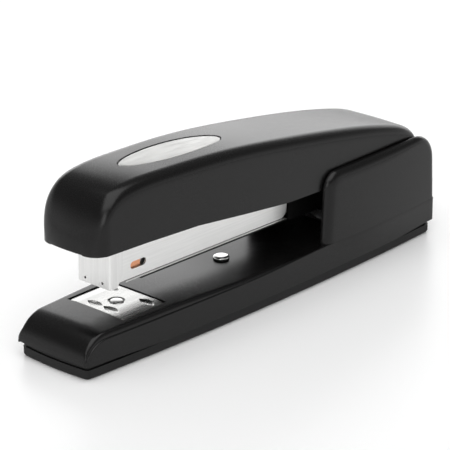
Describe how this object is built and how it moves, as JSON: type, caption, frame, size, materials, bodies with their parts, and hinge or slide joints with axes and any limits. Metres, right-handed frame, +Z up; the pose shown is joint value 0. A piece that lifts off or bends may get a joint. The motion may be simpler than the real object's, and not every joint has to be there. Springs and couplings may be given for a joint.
{
  "type": "desk stapler",
  "caption": "Full-strip desk stapler with a steel cover, sprung magazine and follower, turning anvil and rubber sole.",
  "frame": {"origin": "under the middle of the base, on the surface it stands on", "axes": "nose towards -X, hinge towards +X, +Z up, symmetric about y = 0"},
  "size_m": [0.19, 0.044, 0.0655],
  "materials": {
    "satin_black": "satin black paint",
    "sole_rubber": "moulded black rubber",
    "bright_steel": "bright nickel plate",
    "sheath_steel": "fine drawn grain",
    "spring_steel": "spring wire and strip",
    "emblem_metal": "brushed plate",
    "copper_plate": "copper-coloured plate",
    "dark_steel": "blackened steel"
  },
  "bodies": {
    "base": {"base_shell": "satin_black", "rubber_sole": "sole_rubber", "hinge_bracket": "dark_steel", "bracket_rivets": "spring_steel", "base_return_spring": "spring_steel", "deck_stud": "bright_steel", "stud_washer": "dark_steel", "anvil_spring": "spring_steel"},
    "anvil_button": {"anvil_post": "bright_steel"},
    "anvil": {"anvil_plate": "bright_steel"},
    "pin": {"hinge_pin": "spring_steel", "pin_clips": "spring_steel"},
    "magazine": {"magazine_sheath": "sheath_steel", "nose_plate": "sheath_steel", "staple_rail": "bright_steel", "runner_strip": "bright_steel", "magazine_carrier": "dark_steel", "magazine_rivets": "spring_steel", "guide_rod": "bright_steel", "rod_anchor": "dark_steel", "pusher_spring": "spring_steel", "spring_seat": "dark_steel", "cover_return_spring": "spring_steel"},
    "follower": {"pusher": "copper_plate"},
    "bushes": {"pin_bushes": "spring_steel"},
    "cover": {"cover_shell": "satin_black", "emblem_plate": "emblem_metal", "cover_frame": "dark_steel", "cover_rivets": "spring_steel", "driver_blade": "spring_steel", "blade_rivets": "spring_steel"}
  },
  "joints": [
    {"name": "head_open", "type": "hinge", "parent": "base", "child": "pin", "pos_m": [0.076, 0, 0.033], "axis": [0, 1, 0], "range_deg": [0, 85]},
    {"name": "head_press", "type": "hinge", "parent": "pin", "child": "magazine", "pos_m": [0.076, 0, 0.033], "axis": [0, 1, 0], "range_deg": [-3.5, 0], "stiffness_Nm_per_rad": 4, "springref_deg": 6.88, "deforming": ["base_return_spring"]},
    {"name": "cover_open", "type": "hinge", "parent": "magazine", "child": "bushes", "pos_m": [0.076, 0, 0.033], "axis": [0, 1, 0], "range_deg": [0, 75]},
    {"name": "cover_press", "type": "hinge", "parent": "bushes", "child": "cover", "pos_m": [0.076, 0, 0.033], "axis": [0, 1, 0], "range_deg": [-4, 0], "stiffness_Nm_per_rad": 2.5, "springref_deg": 6.88, "deforming": ["cover_return_spring"]},
    {"name": "pusher_slide", "type": "slide", "parent": "magazine", "child": "follower", "axis": [0.9999, 0, -0.0157], "range_m": [0, 0.103], "stiffness_N_per_m": 50, "springref_m": -0.04, "deforming": ["pusher_spring"]},
    {"name": "anvil_lift", "type": "slide", "parent": "base", "child": "anvil_button", "axis": [0, 0, 1], "range_m": [0, 0.0025], "stiffness_N_per_m": 400, "springref_m": -0.002, "deforming": ["anvil_spring"]},
    {"name": "anvil_turn", "type": "hinge", "parent": "anvil_button", "child": "anvil", "pos_m": [-0.0621, 0, 0.015], "axis": [0, 0, 1], "range_deg": [0, 180]}
  ]
}
